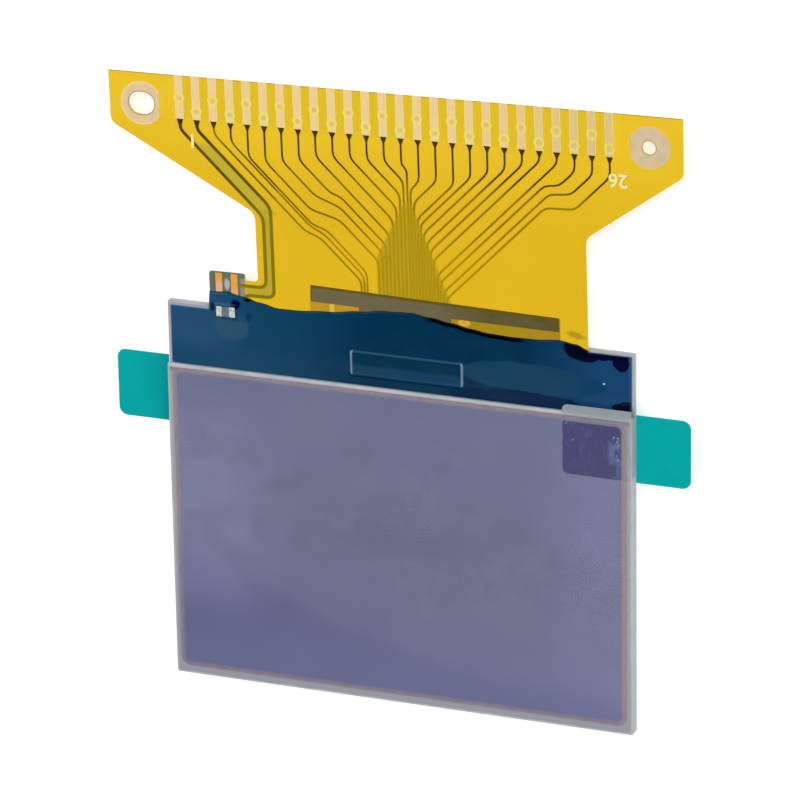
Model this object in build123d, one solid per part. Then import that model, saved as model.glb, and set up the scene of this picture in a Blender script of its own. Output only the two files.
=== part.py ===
from build123d import *
import math
import os

# Chip-on-glass display module of an instrument cluster, lying on its back with the picture side up.
# Millimetres. The origin is on the rear face of the rear protective film, under the centre of the
# front glass. +X is to the viewer's right, +Y towards the flex tail, +Z out of the picture side.

# Glass cell
GLASS_WIDTH = 55.0
FRONT_GLASS_HEIGHT = 38.0
LEDGE_DEPTH = 7.3
GLASS_THICKNESS = 0.7
GLASS_CHAMFER = 0.12
GROUND_EDGE = 0.08
CELL_GAP = 0.05
SEAL_INSET = 0.7
SEAL_WIDTH = 0.5
SEAL_CORNER_RADIUS = 0.6
FILL_PORT_WIDTH = 2.0
FILL_PORT_Y = 3.0

# Films on both sides of the cell
POLARIZER_INSET = 0.4
POLARIZER_THICKNESS = 0.2
REFLECTOR_THICKNESS = 0.05
PROTECTIVE_FILM_THICKNESS = 0.06

# Pull tabs: a clear tape on the film, with a teal backing on its free end
TAPE_WIDTH = 8.3
TAPE_THICKNESS = 0.05
TAPE_ON_GLASS = 8.05
TAPE_CORNER_RADIUS = 0.7
GRIP_WIDTH = 8.0
GRIP_DROP = 0.15
GRIP_THICKNESS = 0.05
GRIP_CORNER_RADIUS = 1.0
TAB_REACH = 6.8
GRIP_START = 0.5
FRONT_TAB_Y = 15.85
REAR_TAB_Y = 15.45

# Driver chip and its bonding film, on the ledge
DIE_LENGTH = 12.6
DIE_WIDTH = 2.3
DIE_HEIGHT = 0.4
DIE_X = 0.95
DIE_FROM_FRONT_GLASS = 2.5
BOND_FILM_THICKNESS = 0.03
BOND_FILM_MARGIN = 0.25

# Flex tail: layers
BASE_FILM_THICKNESS = 0.1
COPPER_THICKNESS = 0.035
COVERLAY_THICKNESS = 0.06

# Flex tail: outline. Lengths along Y count from the outer edge of the ledge
TAIL_SKEW = 1.0
TAIL_SHIFT = 0.15
TAIL_REACH = 27.1
TAIL_OVERLAP = 2.6
HEAD_LEFT_SIDE = 6.0
HEAD_RIGHT_SIDE = 6.6
HEAD_CORNER_RADIUS = 1.2
NECK_WIDTH = 38.65
NECK_OFFSET = 2.775
LEFT_SHOULDER_DROP = 9.3
RIGHT_SHOULDER_DROP = 8.0
SHOULDER_RADIUS = 1.5

# Side tongue of the tail, which carries the sensor
TONGUE_WIDTH = 4.35
TONGUE_GAP = 1.5
TONGUE_TOP = 4.5
TONGUE_OVERLAP = 4.1
TONGUE_TOP_RADIUS = 0.3
TONGUE_END_RADIUS = 1.9
ARM_TOP = 3.7
ARM_RADIUS = 0.5

# Terminals
TERMINAL_COUNT = 26
TERMINAL_PITCH = 2.0
TERMINAL_WIDTH = 1.0
TERMINAL_LENGTH = 5.0
LAND_RADIUS = 0.625
ODD_LAND_FROM_EDGE = 2.6
EVEN_LAND_FROM_EDGE = 4.05
TERMINAL_WINDOW_MARGIN = 0.8

# Locating holes and their plated rings, past both ends of the terminal row
HOLE_FROM_ROW = 4.0
HOLE_FROM_SIDE = 3.85
HOLE_FROM_EDGE = 3.55
SLOT_WIDTH = 2.6
SLOT_LENGTH = 3.05
ROUND_HOLE_RADIUS = 0.75
SLOTTED_RING_RADIUS = 2.55
ROUND_RING_RADIUS = 2.45
RING_FLAT = 2.1
WINDOW_CLEARANCE = 0.12

# Tracks
TRACK_WIDTH = 0.2
HEAVY_TRACK_WIDTH = 0.36
HEAVY_TRACK_COUNT = 2
HEAVY_TRACK_X = (-15.57, -14.66)
HEAVY_TRACK_EXIT = (3.1, 2.0)
FUNNEL_WIDTH = 0.75
FUNNEL_LENGTH = 0.7
CORNER_REACH = 0.6
HEAVY_CORNER_REACH = 0.9
CURVE_STEPS = 2
HEAVY_CURVE_STEPS = 4
CORNER_SHARE = 0.45
SIDE_TRACK_COUNT = 3
SIDE_TRACK_X = -4.2
SIDE_TRACK_PITCH = 0.35
CENTRE_TRACK_NUMBER = 14
CENTRE_TRACK_X = 1.6
LEFT_COMB_PITCH = 0.46
RIGHT_COMB_PITCH = 0.35
VIA_RADIUS = 0.24
LOWER_VIA_ABOVE_LEDGE = 8.2
UPPER_VIA_ABOVE_LEDGE = 10.95

# The tracks with a via on their straight part, and how far above the ledge it is
VIAS = {8: LOWER_VIA_ABOVE_LEDGE, 10: UPPER_VIA_ABOVE_LEDGE}

# How far below its terminal each track leaves the straight, from the first to the last
TRACK_DROPS = (
    1.2, 1.1, 1.45, 2.2, 3.7, 4.1, 3.85, 3.55, 3.0, 2.8, 2.8, 2.8, 2.8,
    3.0, 4.8, 4.6, 4.8, 3.8, 3.1, 2.5, 1.8, 1.2, 1.3, 2.0, 2.2, 2.3,
)

# Steps in some of the tracks, where they run flatter for a while:
# track number, how far in from its terminal the step starts, its length and its fall
TRACK_STEPS = {
    3: (10.3, 1.9, 0.75),
    4: (9.0, 1.6, 0.75),
    5: (7.3, 1.6, 0.45),
    6: (5.1, 3.4, 0.95),
    7: (3.7, 2.9, 1.1),
    8: (3.5, 1.2, 0.35),
    24: (1.8, 1.7, 0.15),
    25: (2.5, 2.5, 0.2),
    26: (4.1, 3.4, 0.1),
}

# Window in the cover film with the tinned fingers, just outside the ledge
FINGER_WINDOW_LEFT = -10.4
FINGER_WINDOW_RIGHT = 18.9
FINGER_WINDOW_TOP_LEFT = 4.0
FINGER_WINDOW_TOP_RIGHT = 2.95
FINGER_BAND_BOTTOM_LEFT = 2.05
FINGER_BAND_BOTTOM_RIGHT = 1.35
FINGER_STEM_LEFT = -4.6
FINGER_STEM_RIGHT = 6.2
FINGER_INSET = 0.12

# Sensor on the tongue
SENSOR_STRIP_WIDTH = 0.8
SENSOR_STRIP_SPACING = 1.84
SENSOR_STRIP_SHIFT = -0.1
SENSOR_STRIP_TOP_MARGIN = 0.15
SENSOR_SHIFT = -0.2
SENSOR_BODY_LENGTH = 0.9
SENSOR_CAP_LENGTH = 0.65
SENSOR_WIDTH = 1.15
SENSOR_HEIGHT = 0.5
SENSOR_ABOVE_LEDGE = -0.05

# Blue coating over the ledge
COATING_THICKNESS = 0.36
COATING_SIDE_MARGIN = 0.4
COATING_EDGE_MARGIN = 0.35
COATING_OVER_DIE = 0.06
DIE_BUMP_MARGIN = 0.2
DIE_BUMP_CHAMFER = 0.1
COATING_WAVE = (
    (-14.0, 0.25),
    (-12.3, 0.2),
    (-4.4, 1.05),
    (1.7, 1.7),
    (4.9, 1.2),
    (7.0, 0.65),
    (12.5, 0.35),
    (18.9, 0.65),
)
COATING_ON_TONGUE = 1.9
COATING_TONGUE_SAG = 0.2
COATING_ON_ARM = 1.3
COATING_OVERRUN = 1.0

# Levels of the stack, from the rear film up
REAR_POLARIZER_Z = PROTECTIVE_FILM_THICKNESS
REAR_GLASS_Z = REAR_POLARIZER_Z + POLARIZER_THICKNESS + REFLECTOR_THICKNESS
CELL_Z = REAR_GLASS_Z + GLASS_THICKNESS
FRONT_GLASS_Z = CELL_Z + CELL_GAP
FRONT_POLARIZER_Z = FRONT_GLASS_Z + GLASS_THICKNESS
FRONT_FILM_Z = FRONT_POLARIZER_Z + POLARIZER_THICKNESS
FRONT_TAPE_Z = FRONT_FILM_Z + PROTECTIVE_FILM_THICKNESS
FLEX_Z = CELL_Z + BOND_FILM_THICKNESS
COPPER_Z = FLEX_Z + BASE_FILM_THICKNESS
CHIP_Z = COPPER_Z + COPPER_THICKNESS
DIE_Z = CELL_Z + BOND_FILM_THICKNESS
DIE_TOP_Z = DIE_Z + DIE_HEIGHT
COATING_TOP_Z = CELL_Z + COATING_THICKNESS

# Places that several pieces share
GLASS_EDGE_X = GLASS_WIDTH / 2
GLASS_TOP_Y = FRONT_GLASS_HEIGHT / 2
LEDGE_Y = GLASS_TOP_Y + LEDGE_DEPTH
HEAD_Y = LEDGE_Y + TAIL_REACH
PAD_END_Y = HEAD_Y - TERMINAL_LENGTH
ROW_HALF = (TERMINAL_COUNT - 1) / 2 * TERMINAL_PITCH + TERMINAL_WIDTH / 2
HOLE_X = ROW_HALF + HOLE_FROM_ROW
HOLE_Y = HEAD_Y - HOLE_FROM_EDGE
HEAD_HALF = HOLE_X + HOLE_FROM_SIDE
NECK_LEFT = NECK_OFFSET - NECK_WIDTH / 2
NECK_RIGHT = NECK_OFFSET + NECK_WIDTH / 2
TONGUE_RIGHT = NECK_LEFT - TONGUE_GAP
TONGUE_LEFT = TONGUE_RIGHT - TONGUE_WIDTH
TONGUE_X = (TONGUE_LEFT + TONGUE_RIGHT) / 2
TONGUE_TOP_Y = LEDGE_Y + TONGUE_TOP
SENSOR_X = TONGUE_X + SENSOR_SHIFT
SENSOR_Y = LEDGE_Y + SENSOR_ABOVE_LEDGE
DIE_Y = GLASS_TOP_Y + DIE_FROM_FRONT_GLASS
FAR = 4 * HEAD_HALF


def slab(face, z, thickness):
    """A flat layer of the given outline whose underside is at height z."""
    return Pos(0, 0, z) * extrude(face, thickness, dir=(0, 0, 1))


def rectangle(left, right, bottom, top):
    """A rectangle given by its four sides."""
    return Pos((left + right) / 2, (bottom + top) / 2) * Rectangle(right - left, top - bottom)


def rounded_rectangle(left, right, bottom, top, radius):
    """A rectangle given by its four sides, with one radius at all corners."""
    return fillet(rectangle(left, right, bottom, top).vertices(), radius)


def corner_near(shape, x, y):
    """The corner of an outline that is nearest to a point."""
    return min(shape.vertices(), key=lambda v: math.hypot(v.X - x, v.Y - y))


def round_corners(shape, corners):
    """Rounds an outline's corners, each given as X, Y and radius."""
    for x, y, radius in corners:
        shape = fillet(corner_near(shape, x, y), radius)
    return shape


def skewed(shape):
    """The tail's own pieces are drawn square and lie slightly askew on the ledge."""
    return Pos(TAIL_SHIFT, LEDGE_Y) * Rot(0, 0, TAIL_SKEW) * Pos(0, -LEDGE_Y) * shape


def eased(points, reach, steps):
    """A centre line whose bends are turned into short curves of so many steps."""
    line = [points[0]]
    for before, corner, after in zip(points, points[1:], points[2:]):
        entry = unit(corner, before)
        leave = unit(corner, after)
        shorter = min(math.dist(before, corner), math.dist(corner, after))
        limit = min(reach, CORNER_SHARE * shorter)
        for i in range(steps + 1):
            share = i / steps
            back = limit * (1 - share) ** 2
            ahead = limit * share ** 2
            line.append((
                corner[0] + entry[0] * back + leave[0] * ahead,
                corner[1] + entry[1] * back + leave[1] * ahead,
            ))
    return line + [points[-1]]


def ribbon(points, width):
    """The outline of a track of even width along its centre line, with mitred bends."""
    half = width / 2
    left = []
    right = []
    for i, (x, y) in enumerate(points):
        before = points[max(i - 1, 0)]
        after = points[min(i + 1, len(points) - 1)]
        entry = unit(before, (x, y)) if i > 0 else unit((x, y), after)
        leave = unit((x, y), after) if i < len(points) - 1 else entry
        tangent = unit((0, 0), (entry[0] + leave[0], entry[1] + leave[1]))
        reach = half / (entry[0] * tangent[0] + entry[1] * tangent[1])
        left.append((x - tangent[1] * reach, y + tangent[0] * reach))
        right.append((x + tangent[1] * reach, y - tangent[0] * reach))
    return Polygon(*right, *reversed(left), align=None)


def unit(start, end):
    """The direction from one point to another."""
    length = math.hypot(end[0] - start[0], end[1] - start[1])
    return ((end[0] - start[0]) / length, (end[1] - start[1]) / length)


# Glass cell

def glass_plate(bottom, top, z, ground_side):
    """One sheet of the cell. Its ground side is -1 for the upper face and 0 for the lower one."""
    plate = slab(rectangle(-GLASS_EDGE_X, GLASS_EDGE_X, bottom, top), z, GLASS_THICKNESS)
    plate = chamfer(plate.edges().filter_by(Axis.Z), GLASS_CHAMFER)
    outward = plate.faces().sort_by(Axis.Z)[ground_side]
    return chamfer(outward.edges(), GROUND_EDGE)


def seal_outline(inset):
    """The outline of the seal's outer or inner side."""
    edge_x = GLASS_EDGE_X - inset
    edge_y = GLASS_TOP_Y - inset
    radius = SEAL_CORNER_RADIUS
    return rounded_rectangle(-edge_x, edge_x, -edge_y, edge_y, radius)


def fill_port(start, end):
    """The gap of the filling port in the right side of the seal, between two X places."""
    half = FILL_PORT_WIDTH / 2
    return rectangle(start, end, FILL_PORT_Y - half, FILL_PORT_Y + half)


SEAL_INNER = seal_outline(SEAL_INSET + SEAL_WIDTH)
SEAL_RING = seal_outline(SEAL_INSET) - SEAL_INNER


def film_outline():
    """The outline that the polarizers and the protective films share."""
    edge_x = GLASS_EDGE_X - POLARIZER_INSET
    edge_y = GLASS_TOP_Y - POLARIZER_INSET
    return rectangle(-edge_x, edge_x, -edge_y, edge_y)


def pull_tape(side, y, z):
    """The clear tape of a pull tab. Side is 1 at the right and -1 at the left."""
    start = side * (GLASS_EDGE_X - TAPE_ON_GLASS)
    end = side * (GLASS_EDGE_X + TAB_REACH)
    bottom = y - TAPE_WIDTH / 2
    top = y + TAPE_WIDTH / 2
    face = rectangle(min(start, end), max(start, end), bottom, top)
    corners = [(start, bottom, TAPE_CORNER_RADIUS), (start, top, TAPE_CORNER_RADIUS)]
    corners += [(end, bottom, GRIP_CORNER_RADIUS), (end, top, GRIP_CORNER_RADIUS)]
    return slab(round_corners(face, corners), z, TAPE_THICKNESS)


def pull_grip(side, y, z):
    """The teal backing that covers the glue on the free end of a pull tab."""
    start = side * (GLASS_EDGE_X + GRIP_START)
    end = side * (GLASS_EDGE_X + TAB_REACH)
    bottom = y - GRIP_DROP - GRIP_WIDTH / 2
    top = y - GRIP_DROP + GRIP_WIDTH / 2
    face = rectangle(min(start, end), max(start, end), bottom, top)
    corners = [(end, bottom, GRIP_CORNER_RADIUS), (end, top, GRIP_CORNER_RADIUS)]
    return slab(round_corners(face, corners), z, GRIP_THICKNESS)


# Flex tail

def tail_outline():
    """The T of the tail with its side arm and tongue, without the locating holes."""
    left_side_y = HEAD_Y - HEAD_LEFT_SIDE
    right_side_y = HEAD_Y - HEAD_RIGHT_SIDE
    left_y = left_side_y - LEFT_SHOULDER_DROP
    right_y = right_side_y - RIGHT_SHOULDER_DROP
    end_y = LEDGE_Y - TAIL_OVERLAP
    body = Polygon(
        (NECK_LEFT, end_y),
        (NECK_RIGHT, end_y),
        (NECK_RIGHT, right_y),
        (HEAD_HALF, right_side_y),
        (HEAD_HALF, HEAD_Y),
        (-HEAD_HALF, HEAD_Y),
        (-HEAD_HALF, left_side_y),
        (NECK_LEFT, left_y),
        align=None,
    )
    arm_y = LEDGE_Y + ARM_TOP
    arm = rectangle(TONGUE_X, NECK_LEFT + TONGUE_GAP, end_y, arm_y)
    tongue_end = LEDGE_Y - TONGUE_OVERLAP
    tongue = rectangle(TONGUE_LEFT, TONGUE_RIGHT, tongue_end, TONGUE_TOP_Y)
    outline = body + arm + tongue
    corners = [
        (-HEAD_HALF, left_side_y, HEAD_CORNER_RADIUS),
        (HEAD_HALF, right_side_y, HEAD_CORNER_RADIUS),
        (NECK_LEFT, left_y, SHOULDER_RADIUS),
        (NECK_RIGHT, right_y, SHOULDER_RADIUS),
        (NECK_LEFT, arm_y, ARM_RADIUS),
        (TONGUE_LEFT, TONGUE_TOP_Y, TONGUE_TOP_RADIUS),
        (TONGUE_RIGHT, TONGUE_TOP_Y, TONGUE_TOP_RADIUS),
        (TONGUE_LEFT, tongue_end, TONGUE_END_RADIUS),
    ]
    return round_corners(outline, corners)


def slotted_hole():
    """The oblong locating hole at the left."""
    slot = SlotOverall(SLOT_LENGTH, SLOT_WIDTH)
    return Pos(-HOLE_X, HOLE_Y) * slot


def round_hole():
    """The round locating hole at the right."""
    return Pos(HOLE_X, HOLE_Y) * Circle(ROUND_HOLE_RADIUS)


def ring_pad(side, radius, hole):
    """The plated ring round a locating hole, cut flat on the side of the terminals."""
    ring = Pos(side * HOLE_X, HOLE_Y) * Circle(radius)
    flat_x = side * (HOLE_X - RING_FLAT)
    beyond = rectangle(min(flat_x, 0), max(flat_x, 0), HOLE_Y - radius, HOLE_Y + radius)
    return slab(ring - beyond - hole, COPPER_Z, COPPER_THICKNESS)


def terminal_x(number):
    """The centre of a terminal, counted from 1 at the left."""
    return (number - (TERMINAL_COUNT + 1) / 2) * TERMINAL_PITCH


def terminal(number):
    """One terminal pad, flush with the head's edge, with its staggered via land."""
    x = terminal_x(number)
    half = TERMINAL_WIDTH / 2
    pad = rectangle(x - half, x + half, PAD_END_Y, HEAD_Y)
    from_edge = ODD_LAND_FROM_EDGE if number % 2 else EVEN_LAND_FROM_EDGE
    land = Pos(x, HEAD_Y - from_edge) * Circle(LAND_RADIUS)
    return slab(pad + land, COPPER_Z, COPPER_THICKNESS)


def window_top(x):
    """The upper edge of the finger window at a place across the tail."""
    share = (x - FINGER_WINDOW_LEFT) / (FINGER_WINDOW_RIGHT - FINGER_WINDOW_LEFT)
    rise = FINGER_WINDOW_TOP_LEFT + share * (FINGER_WINDOW_TOP_RIGHT - FINGER_WINDOW_TOP_LEFT)
    return LEDGE_Y + rise


def finger_window():
    """The window in the cover film that leaves the fingers bare."""
    end_y = LEDGE_Y - 2 * TAIL_OVERLAP
    return Polygon(
        (FINGER_WINDOW_LEFT, end_y),
        (FINGER_WINDOW_RIGHT, end_y),
        (FINGER_WINDOW_RIGHT, window_top(FINGER_WINDOW_RIGHT)),
        (FINGER_WINDOW_LEFT, window_top(FINGER_WINDOW_LEFT)),
        align=None,
    )


def finger_strip():
    """The tinned fingers as one strip: a band across the window and a stem down to the ledge."""
    left = FINGER_WINDOW_LEFT + FINGER_INSET
    right = FINGER_WINDOW_RIGHT - FINGER_INSET
    left_y = LEDGE_Y + FINGER_BAND_BOTTOM_LEFT
    right_y = LEDGE_Y + FINGER_BAND_BOTTOM_RIGHT
    band = Polygon(
        (left, left_y),
        (right, right_y),
        (right, window_top(right)),
        (left, window_top(left)),
        align=None,
    )
    end_y = LEDGE_Y - TAIL_OVERLAP + FINGER_INSET
    stem = rectangle(FINGER_STEM_LEFT, FINGER_STEM_RIGHT, end_y, left_y)
    return slab(band + stem, COPPER_Z, COPPER_THICKNESS)


def comb_x(number):
    """Where a track runs straight down to the fingers."""
    if number <= HEAVY_TRACK_COUNT + SIDE_TRACK_COUNT:
        return SIDE_TRACK_X + (number - HEAVY_TRACK_COUNT - 1) * SIDE_TRACK_PITCH
    pitch = LEFT_COMB_PITCH if number < CENTRE_TRACK_NUMBER else RIGHT_COMB_PITCH
    return CENTRE_TRACK_X + (number - CENTRE_TRACK_NUMBER) * pitch


def track_points(number):
    """The centre line of a fan-out track: down, in at 45 degrees, with its step, and down again."""
    x = terminal_x(number)
    end_x = comb_x(number)
    side = 1 if end_x > x else -1
    y = PAD_END_Y - TRACK_DROPS[number - 1]
    points = [(x, PAD_END_Y), (x, y)]
    if number in TRACK_STEPS:
        inwards, length, fall = TRACK_STEPS[number]
        x = x + side * inwards
        y = y - inwards
        points.append((x, y))
        x = x + side * length
        y = y - fall
        points.append((x, y))
    y = y - abs(end_x - x)
    if y < window_top(end_x) + TRACK_WIDTH:
        end_x = x + side * (y + abs(end_x - x) - window_top(end_x))
        return points + [(end_x, window_top(end_x))]
    return points + [(end_x, y), (end_x, window_top(end_x))]


def funnel(number, width):
    """The drop shape where a track leaves its terminal."""
    x = terminal_x(number)
    return Polygon(
        (x - width / 2, PAD_END_Y - FUNNEL_LENGTH),
        (x + width / 2, PAD_END_Y - FUNNEL_LENGTH),
        (x + FUNNEL_WIDTH / 2, PAD_END_Y),
        (x - FUNNEL_WIDTH / 2, PAD_END_Y),
        align=None,
    )


def strip_x(number):
    """The centre of a sensor strip: the first heavy track feeds the right one."""
    side = 1 if number == 1 else -1
    return TONGUE_X + SENSOR_STRIP_SHIFT + side * SENSOR_STRIP_SPACING / 2


def heavy_track_points(number):
    """The centre line of one of the two wide tracks, which feed the sensor."""
    x = terminal_x(number)
    neck_x = HEAVY_TRACK_X[number - 1]
    exit_y = LEDGE_Y + HEAVY_TRACK_EXIT[number - 1]
    y = PAD_END_Y - TRACK_DROPS[number - 1]
    points = [(x, PAD_END_Y), (x, y), (neck_x, y - (neck_x - x)), (neck_x, exit_y)]
    if number == 1:
        return points + [(strip_x(1) + SENSOR_STRIP_WIDTH / 2, exit_y)]
    drop_x = TONGUE_RIGHT - HEAVY_TRACK_WIDTH
    low_y = SENSOR_Y - SENSOR_WIDTH - HEAVY_TRACK_WIDTH
    return points + [(drop_x, exit_y), (drop_x, low_y), (strip_x(2), low_y), (strip_x(2), sensor_end_y())]


def sensor_end_y():
    """The lower end of the sensor strips, just past the chip."""
    return SENSOR_Y - SENSOR_WIDTH / 2 - SENSOR_STRIP_TOP_MARGIN


def tracks():
    """All 26 tracks, each a solid of its own."""
    solids = []
    for number in range(1, TERMINAL_COUNT + 1):
        heavy = number <= HEAVY_TRACK_COUNT
        width = HEAVY_TRACK_WIDTH if heavy else TRACK_WIDTH
        if heavy:
            line = eased(heavy_track_points(number), HEAVY_CORNER_REACH, HEAVY_CURVE_STEPS)
        else:
            line = eased(track_points(number), CORNER_REACH, CURVE_STEPS)
        face = ribbon(line, width) + funnel(number, width)
        if number in VIAS:
            face = face + Pos(comb_x(number), LEDGE_Y + VIAS[number]) * Circle(VIA_RADIUS)
        if not heavy:
            face = face - finger_window()
        solids += slab(face, COPPER_Z, COPPER_THICKNESS).solids()
    return solids


def coverlay(copper):
    """The cover film with its windows, laid over the tracks."""
    row_edge = ROW_HALF + TERMINAL_WINDOW_MARGIN
    face = tail_outline() - rectangle(-row_edge, row_edge, PAD_END_Y, HEAD_Y + TERMINAL_LENGTH)
    face = face - Pos(-HOLE_X, HOLE_Y) * Circle(SLOTTED_RING_RADIUS + WINDOW_CLEARANCE)
    face = face - Pos(HOLE_X, HOLE_Y) * Circle(ROUND_RING_RADIUS + WINDOW_CLEARANCE)
    face = face - finger_window()
    face = face - rectangle(-FAR, TONGUE_RIGHT, -FAR, TONGUE_TOP_Y + TONGUE_TOP)
    film = slab(face, COPPER_Z, COVERLAY_THICKNESS)
    return film - copper


def sensor_strip(number):
    """One bare copper strip of the tongue."""
    x = strip_x(number)
    half = SENSOR_STRIP_WIDTH / 2
    top = TONGUE_TOP_Y - SENSOR_STRIP_TOP_MARGIN
    return slab(rectangle(x - half, x + half, sensor_end_y(), top), COPPER_Z, COPPER_THICKNESS)


def sensor_block(x, length):
    """A stretch of the chip part that stands on the strips, centred at X."""
    face = Pos(x, SENSOR_Y) * Rectangle(length, SENSOR_WIDTH)
    return slab(face, CHIP_Z, SENSOR_HEIGHT)


def coating_over_flex():
    """The part of the coating that runs past the ledge onto the tail, with its wavy edge."""
    low_y = GLASS_TOP_Y
    wave = [(x, LEDGE_Y + rise) for x, rise in COATING_WAVE]
    arm_y = LEDGE_Y + COATING_ON_ARM
    tongue_y = LEDGE_Y + COATING_ON_TONGUE
    left = TONGUE_LEFT - COATING_OVERRUN
    right = NECK_RIGHT + COATING_OVERRUN
    edge = Spline(
        (left, tongue_y - COATING_TONGUE_SAG),
        (TONGUE_X, tongue_y),
        (TONGUE_RIGHT, arm_y),
        *wave,
        (NECK_RIGHT, LEDGE_Y),
    )
    start = edge @ 0
    end = edge @ 1
    sides = Polyline(
        (end.X, end.Y),
        (right, LEDGE_Y),
        (right, low_y),
        (left, low_y),
        (start.X, start.Y),
    )
    return make_face([edge, *sides.edges()])


def ledge_coating(buried):
    """The blue coating: poured over the ledge, the tail's end and the chip."""
    edge_x = GLASS_EDGE_X - COATING_SIDE_MARGIN
    on_glass = rectangle(-edge_x, edge_x, GLASS_TOP_Y, LEDGE_Y - COATING_EDGE_MARGIN)
    on_flex = coating_over_flex() & skewed(tail_outline())
    poured = slab(on_glass, CELL_Z, COATING_THICKNESS)
    poured = poured + slab(on_flex, FLEX_Z, COATING_TOP_Z - FLEX_Z)
    bump_face = Pos(DIE_X, DIE_Y) * Rectangle(
        DIE_LENGTH + 2 * DIE_BUMP_MARGIN, DIE_WIDTH + 2 * DIE_BUMP_MARGIN
    )
    bump_height = DIE_TOP_Z + COATING_OVER_DIE - CELL_Z
    bump = slab(bump_face, CELL_Z, bump_height)
    bump = chamfer(bump.edges().group_by(Axis.Z)[-1], DIE_BUMP_CHAMFER)
    coating = poured + bump
    for solid in buried:
        coating = coating - solid
    return coating


def build():
    """Every piece by its node name, each as one solid or a list of separate solids."""
    tail = tail_outline()
    pierced = tail - slotted_hole() - round_hole()
    copper = tracks()
    cover = coverlay(copper)
    ledge_part = rectangle(-FAR, FAR, GLASS_TOP_Y, LEDGE_Y)
    flex_bond = slab(skewed(tail) & ledge_part, CELL_Z, BOND_FILM_THICKNESS)
    base = slab(pierced, FLEX_Z, BASE_FILM_THICKNESS)
    fingers = finger_strip()
    strips = [sensor_strip(1), sensor_strip(2)]
    cap_x = (SENSOR_BODY_LENGTH + SENSOR_CAP_LENGTH) / 2
    chip_body = sensor_block(SENSOR_X, SENSOR_BODY_LENGTH)
    chip_caps = [sensor_block(SENSOR_X + side * cap_x, SENSOR_CAP_LENGTH) for side in (-1, 1)]
    die_face = Pos(DIE_X, DIE_Y) * Rectangle(DIE_LENGTH, DIE_WIDTH)
    die_film_face = Pos(DIE_X, DIE_Y) * Rectangle(
        DIE_LENGTH + 2 * BOND_FILM_MARGIN, DIE_WIDTH + 2 * BOND_FILM_MARGIN
    )
    die = slab(die_face, DIE_Z, DIE_HEIGHT)
    die_film = slab(die_film_face, CELL_Z, BOND_FILM_THICKNESS)
    film = film_outline()
    right_inner_x = GLASS_EDGE_X - SEAL_INSET - SEAL_WIDTH

    pieces = {
        "rear_protective_film": slab(film, 0, PROTECTIVE_FILM_THICKNESS),
        "rear_polarizer": slab(film, REAR_POLARIZER_Z, POLARIZER_THICKNESS + REFLECTOR_THICKNESS),
        "rear_glass": glass_plate(-GLASS_TOP_Y, LEDGE_Y, REAR_GLASS_Z, 0),
        "perimeter_seal": slab(SEAL_RING - fill_port(0, FAR), CELL_Z, CELL_GAP),
        "liquid_crystal": slab(SEAL_INNER, CELL_Z, CELL_GAP),
        "end_seal": slab(fill_port(right_inner_x, GLASS_EDGE_X), CELL_Z, CELL_GAP),
        "front_glass": glass_plate(-GLASS_TOP_Y, GLASS_TOP_Y, FRONT_GLASS_Z, -1),
        "front_polarizer": slab(film, FRONT_POLARIZER_Z, POLARIZER_THICKNESS),
        "front_protective_film": slab(film, FRONT_FILM_Z, PROTECTIVE_FILM_THICKNESS),
        "front_pull_tape": pull_tape(1, FRONT_TAB_Y, FRONT_TAPE_Z),
        "front_pull_grip": pull_grip(1, FRONT_TAB_Y, FRONT_TAPE_Z - GRIP_THICKNESS),
        "rear_pull_tape": pull_tape(-1, REAR_TAB_Y, -TAPE_THICKNESS),
        "rear_pull_grip": pull_grip(-1, REAR_TAB_Y, 0),
        "driver_die": die,
        "die_bond_film": die_film,
        "flex_bond_film": flex_bond,
    }
    on_tail = {
        "flex_base_film": base,
        "flex_coverlay": cover,
        "flex_traces": copper,
        "terminal_pads": [terminal(n) for n in range(1, TERMINAL_COUNT + 1)],
        "slotted_ring_pad": ring_pad(-1, SLOTTED_RING_RADIUS, slotted_hole()),
        "round_ring_pad": ring_pad(1, ROUND_RING_RADIUS, round_hole()),
        "bond_finger_strip": fingers,
        "sensor_strips": strips,
        "sensor_chip": chip_body,
        "sensor_end_caps": chip_caps,
    }
    for node, piece in on_tail.items():
        if isinstance(piece, list):
            pieces[node] = [skewed(solid) for solid in piece]
        else:
            pieces[node] = skewed(piece)
    buried = [die, die_film, flex_bond, pieces["flex_base_film"], pieces["flex_coverlay"]]
    buried += pieces["flex_traces"][:HEAVY_TRACK_COUNT] + [pieces["bond_finger_strip"]]
    buried += pieces["sensor_strips"] + [pieces["sensor_chip"]] + pieces["sensor_end_caps"]
    pieces["ledge_coating"] = ledge_coating(buried)
    return pieces


def main():
    os.makedirs("parts", exist_ok=True)
    for node, piece in build().items():
        solids = piece if isinstance(piece, list) else [piece]
        shape = Compound(children=[s for item in solids for s in item.solids()])
        shape.label = node
        export_step(shape, "parts/" + node + ".step")


main()
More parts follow.
